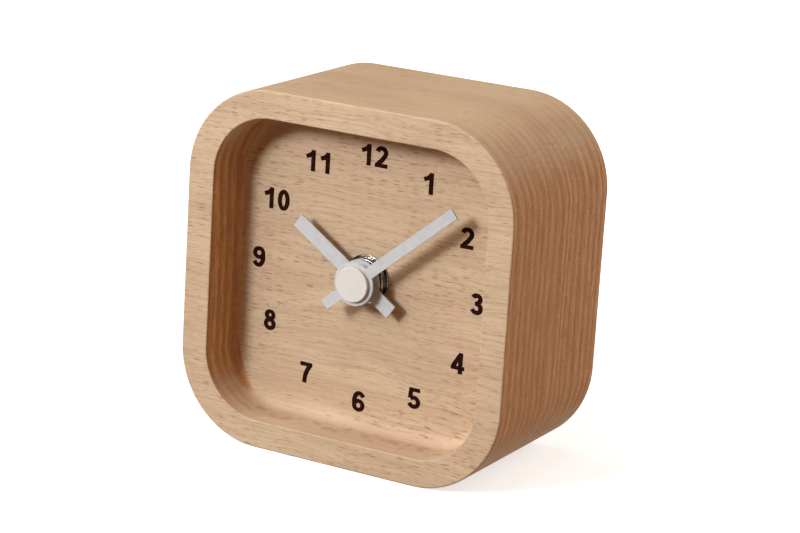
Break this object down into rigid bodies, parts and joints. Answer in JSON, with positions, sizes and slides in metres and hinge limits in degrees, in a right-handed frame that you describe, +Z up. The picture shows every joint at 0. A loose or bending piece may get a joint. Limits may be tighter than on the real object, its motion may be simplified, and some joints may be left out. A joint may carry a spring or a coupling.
{
  "type": "square wooden desk clock",
  "caption": "Small square desk clock: a block of solid beech with rounded corners, a recessed dial with bar hands, and a quartz movement in a pocket at the back.",
  "frame": {"origin": "middle of the base, under the centre of the case's box", "axes": "+Z up; -Y is the direction the dial faces, so +Y runs from the front of the case to its back; +X is to the right as the dial is read"},
  "size_m": [0.095, 0.0526, 0.095],
  "materials": {
    "beech": "bare sanded beech, nearly matt",
    "hand_paint": "matt off-white paint on thin aluminium",
    "cap_paint": "matt warm white paint",
    "nickel": "bright nickel plate",
    "brass": "turned brass",
    "steel": "plain steel",
    "magnet": "sintered grey magnet",
    "copper": "enamelled copper wire",
    "gasket_rubber": "matt black rubber",
    "housing_plastic": "finely textured black moulding",
    "gear_plastic": "natural acetal",
    "board": "brown phenolic board",
    "chip_resin": "black potting resin",
    "battery_wrap": "plain printed-free wrap"
  },
  "bodies": {
    "case": {"wooden_case": "beech", "rubber_gasket": "gasket_rubber", "dial_washer": "nickel", "dial_nut": "nickel", "movement_front_housing": "housing_plastic", "movement_rear_cover": "housing_plastic", "middle_plate": "housing_plastic", "train_bridge": "housing_plastic", "stator": "steel", "coil_core": "steel", "coil_bobbin": "gear_plastic", "coil_winding": "copper", "circuit_board": "board", "quartz_crystal": "steel", "clock_chip": "chip_resin", "battery": "battery_wrap", "negative_contact": "nickel", "positive_contact": "nickel"},
    "minute_hand": {"minute_hand": "hand_paint", "minute_hand_bush": "brass", "hand_cap": "cap_paint", "minute_pipe": "brass", "centre_wheel": "gear_plastic"},
    "hour_hand": {"hour_hand": "hand_paint", "hour_hand_bush": "brass", "hour_wheel": "gear_plastic"},
    "minute_work_wheel": {"minute_work_wheel": "gear_plastic"},
    "setting_knob": {"setting_knob": "housing_plastic", "setting_pinion": "gear_plastic"},
    "third_wheel": {"third_wheel": "gear_plastic"},
    "second_wheel": {"second_wheel": "gear_plastic"},
    "fifth_wheel": {"fifth_wheel": "gear_plastic"},
    "rotor": {"rotor_pinion": "steel", "rotor_magnet": "magnet"}
  },
  "joints": [
    {"name": "minute_hand_turn", "type": "hinge", "parent": "case", "child": "minute_hand", "pos_m": [0, -0.0202, 0.0475], "axis": [0, 1, 0], "continuous": true},
    {"name": "hour_hand_turn", "type": "hinge", "parent": "case", "child": "hour_hand", "pos_m": [0, -0.0171, 0.0475], "axis": [0, 1, 0], "continuous": true},
    {"name": "minute_work_wheel_turn", "type": "hinge", "parent": "case", "child": "minute_work_wheel", "pos_m": [-0.00779, -0.0033, 0.052], "axis": [0, 1, 0], "continuous": true},
    {"name": "setting_knob_turn", "type": "hinge", "parent": "case", "child": "setting_knob", "pos_m": [-0.01679, 0.011, 0.052], "axis": [0, 1, 0], "continuous": true},
    {"name": "third_wheel_turn", "type": "hinge", "parent": "case", "child": "third_wheel", "pos_m": [0.00752, 0.0004, 0.05024], "axis": [0, 1, 0], "continuous": true},
    {"name": "second_wheel_turn", "type": "hinge", "parent": "case", "child": "second_wheel", "pos_m": [0, 0.0015, 0.0475], "axis": [0, 1, 0], "continuous": true},
    {"name": "fifth_wheel_turn", "type": "hinge", "parent": "case", "child": "fifth_wheel", "pos_m": [-0.00287, 0.0027, 0.05539], "axis": [0, 1, 0], "continuous": true},
    {"name": "rotor_turn", "type": "hinge", "parent": "case", "child": "rotor", "pos_m": [0.00163, 0.0044, 0.05917], "axis": [0, 1, 0], "continuous": true}
  ],
  "couplings": [
    {"joint": "hour_hand_turn", "follows": "minute_hand_turn", "ratio": 0.083333},
    {"joint": "minute_work_wheel_turn", "follows": "minute_hand_turn", "ratio": -0.33333},
    {"joint": "setting_knob_turn", "follows": "minute_hand_turn", "ratio": 1},
    {"joint": "third_wheel_turn", "follows": "minute_hand_turn", "ratio": -8},
    {"joint": "second_wheel_turn", "follows": "minute_hand_turn", "ratio": 60},
    {"joint": "fifth_wheel_turn", "follows": "minute_hand_turn", "ratio": -300},
    {"joint": "rotor_turn", "follows": "minute_hand_turn", "ratio": 1800}
  ]
}
